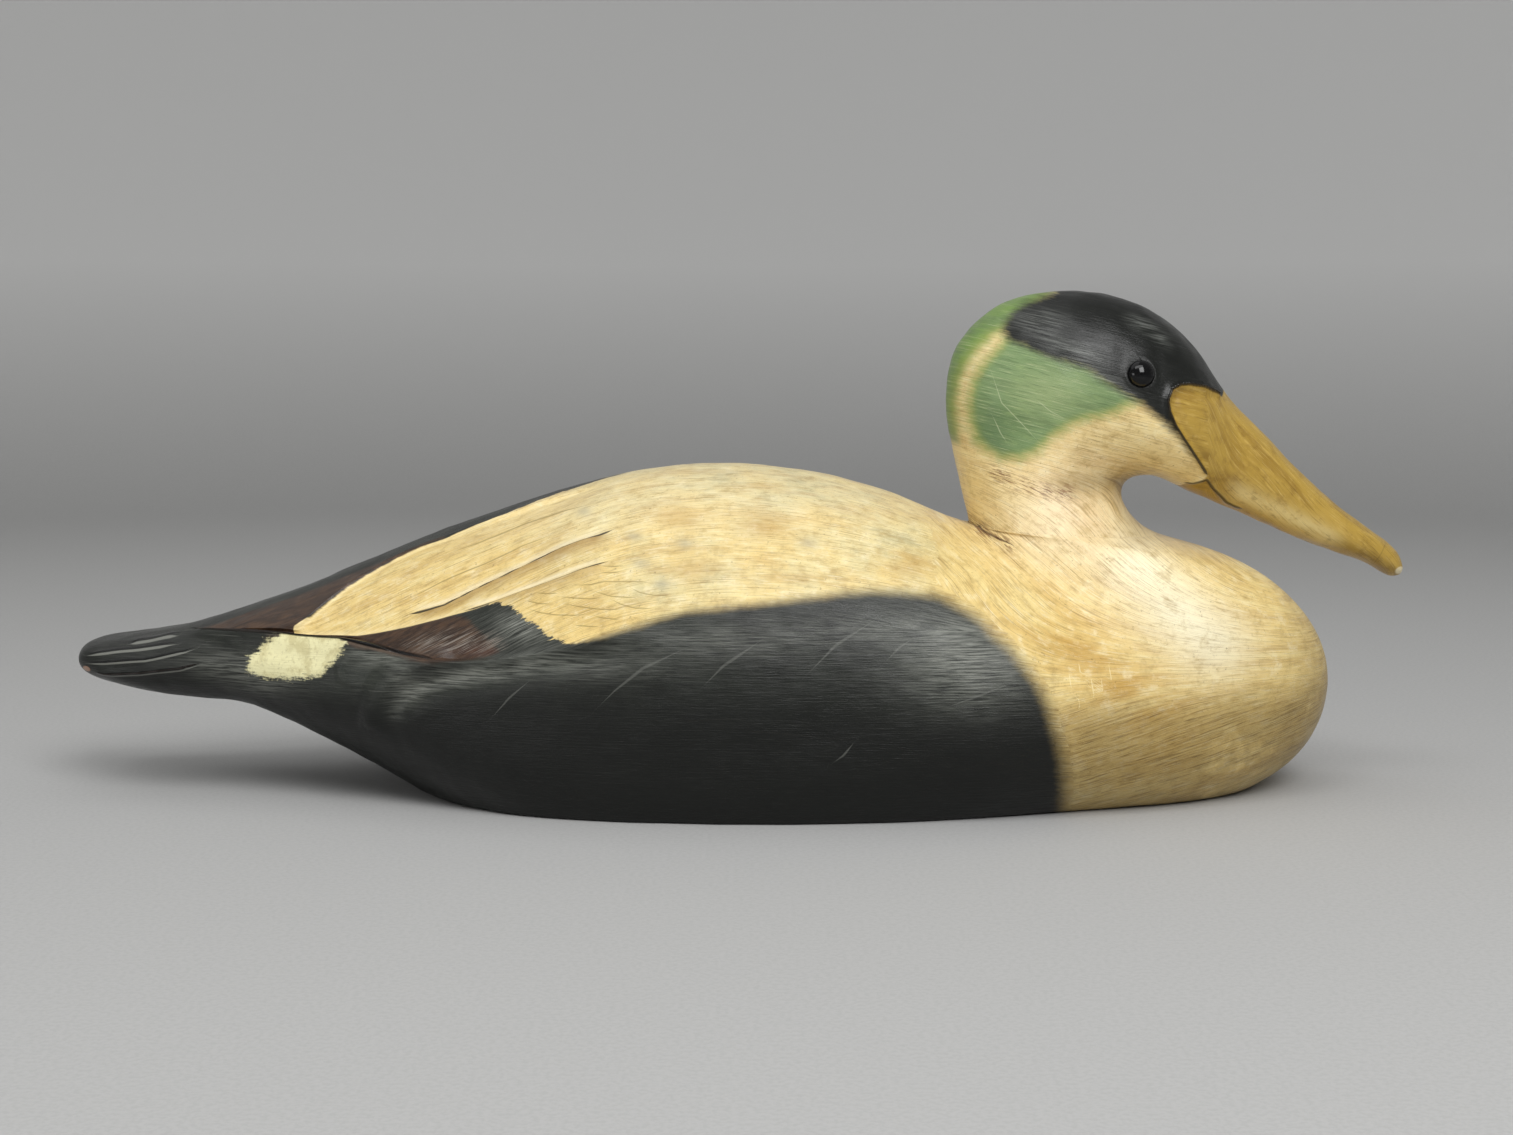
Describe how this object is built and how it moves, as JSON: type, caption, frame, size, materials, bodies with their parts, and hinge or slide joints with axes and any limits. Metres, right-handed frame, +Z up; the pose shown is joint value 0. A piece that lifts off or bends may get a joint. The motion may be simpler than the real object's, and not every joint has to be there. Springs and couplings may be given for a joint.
{
  "type": "eider decoy",
  "caption": "Carved and painted wooden drake eider decoy with folded wings, a long sloping bill, glass eyes and a flat underside to stand on.",
  "frame": {"origin": "middle of the bird's length and width at the plane it stands on", "axes": "+X towards the bill, +Y towards the bird's left side, +Z up"},
  "size_m": [0.508, 0.1802, 0.189],
  "materials": {
    "body_paint": "worn satin oil paint, cream back and breast, black flanks, rump and tail",
    "head_paint": "worn satin oil paint, cream face and neck, black cap, green nape and cheek, ochre bill",
    "eye_glass": "polished black glass"
  },
  "bodies": {
    "root": {"body": "body_paint", "head": "head_paint", "eye_right": "eye_glass", "eye_left": "eye_glass"}
  },
  "joints": []
}
